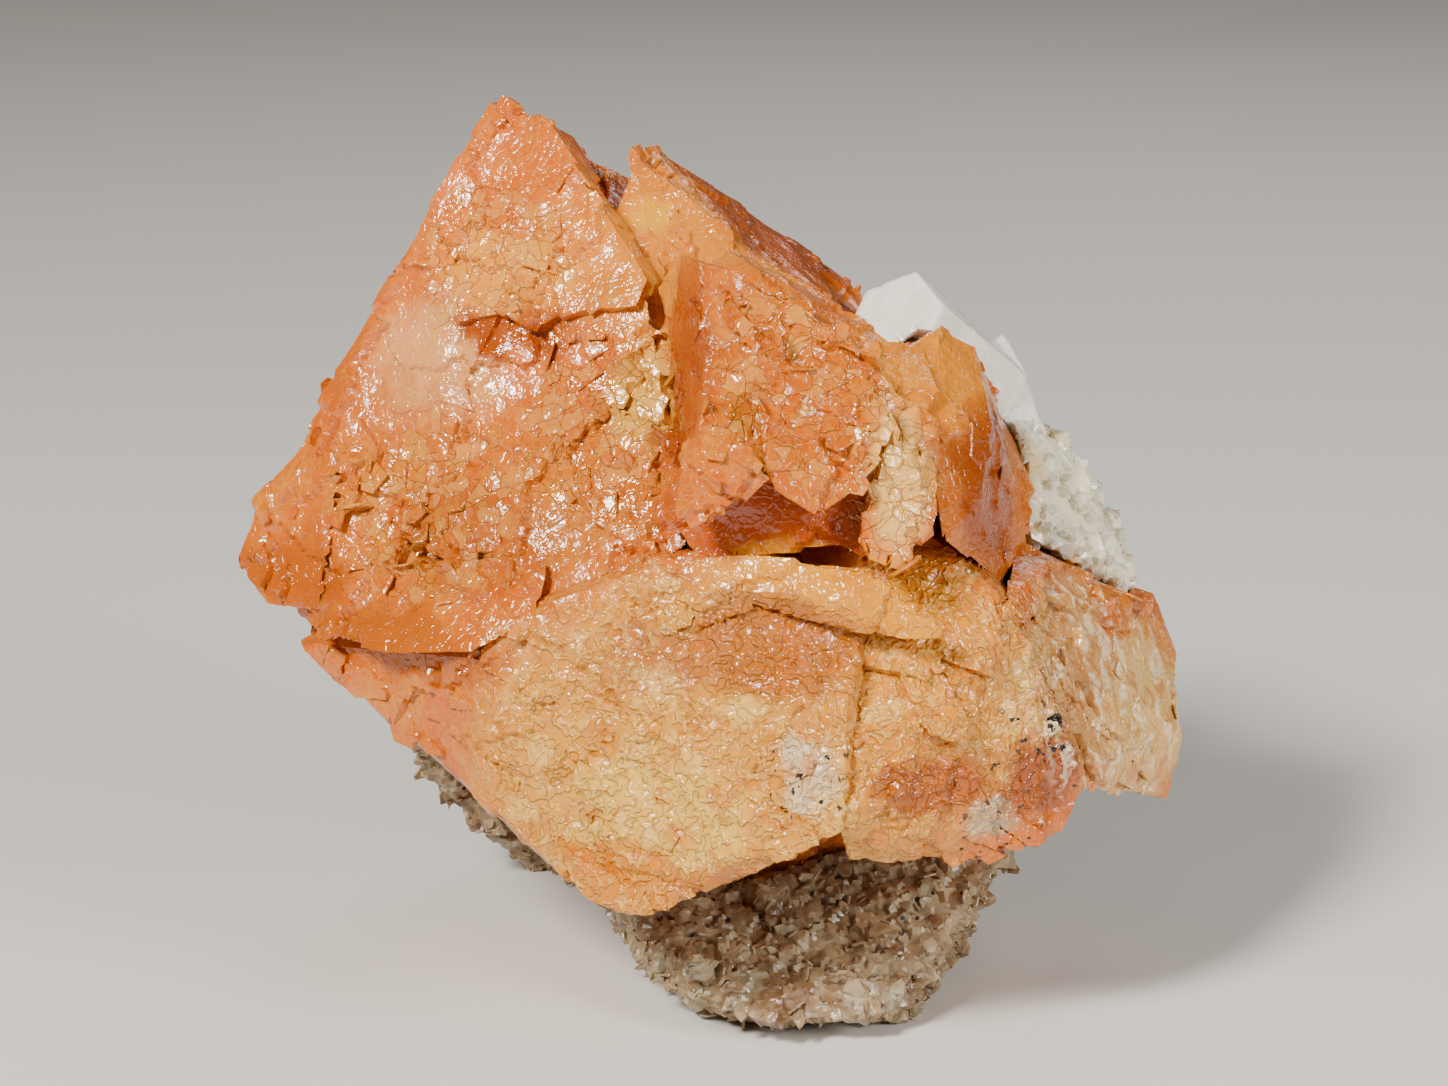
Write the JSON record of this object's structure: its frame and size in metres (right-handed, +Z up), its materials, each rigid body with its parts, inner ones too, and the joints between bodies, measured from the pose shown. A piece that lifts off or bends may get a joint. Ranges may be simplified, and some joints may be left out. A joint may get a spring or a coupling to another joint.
{
  "type": "scheelite crystal cluster on muscovite",
  "caption": "Cluster of orange scheelite crystals with a milky beryl prism and a pale crystal crust, on a grey-brown muscovite matrix that ends in a flat underside.",
  "frame": {"origin": "on the flat underside of the muscovite, near its middle", "axes": "+X to the right as the specimen is displayed, +Y to the back, +Z up"},
  "size_m": [0.079, 0.0636, 0.074],
  "materials": {
    "scheelite": "translucent orange to cream, bright almost diamond-like lustre, crazed and etched",
    "beryl": "milky white to greyish, smooth, softly glossy",
    "pale_crystals": "pale straw to greenish white, clear at the edges, glossy",
    "muscovite": "grey-tan books of mica, pearly on the flats and rough between them"
  },
  "bodies": {
    "root": {"scheelite_crystals": "scheelite", "beryl_prism": "beryl", "pale_crystal_crust": "pale_crystals", "muscovite_matrix": "muscovite"}
  },
  "joints": []
}
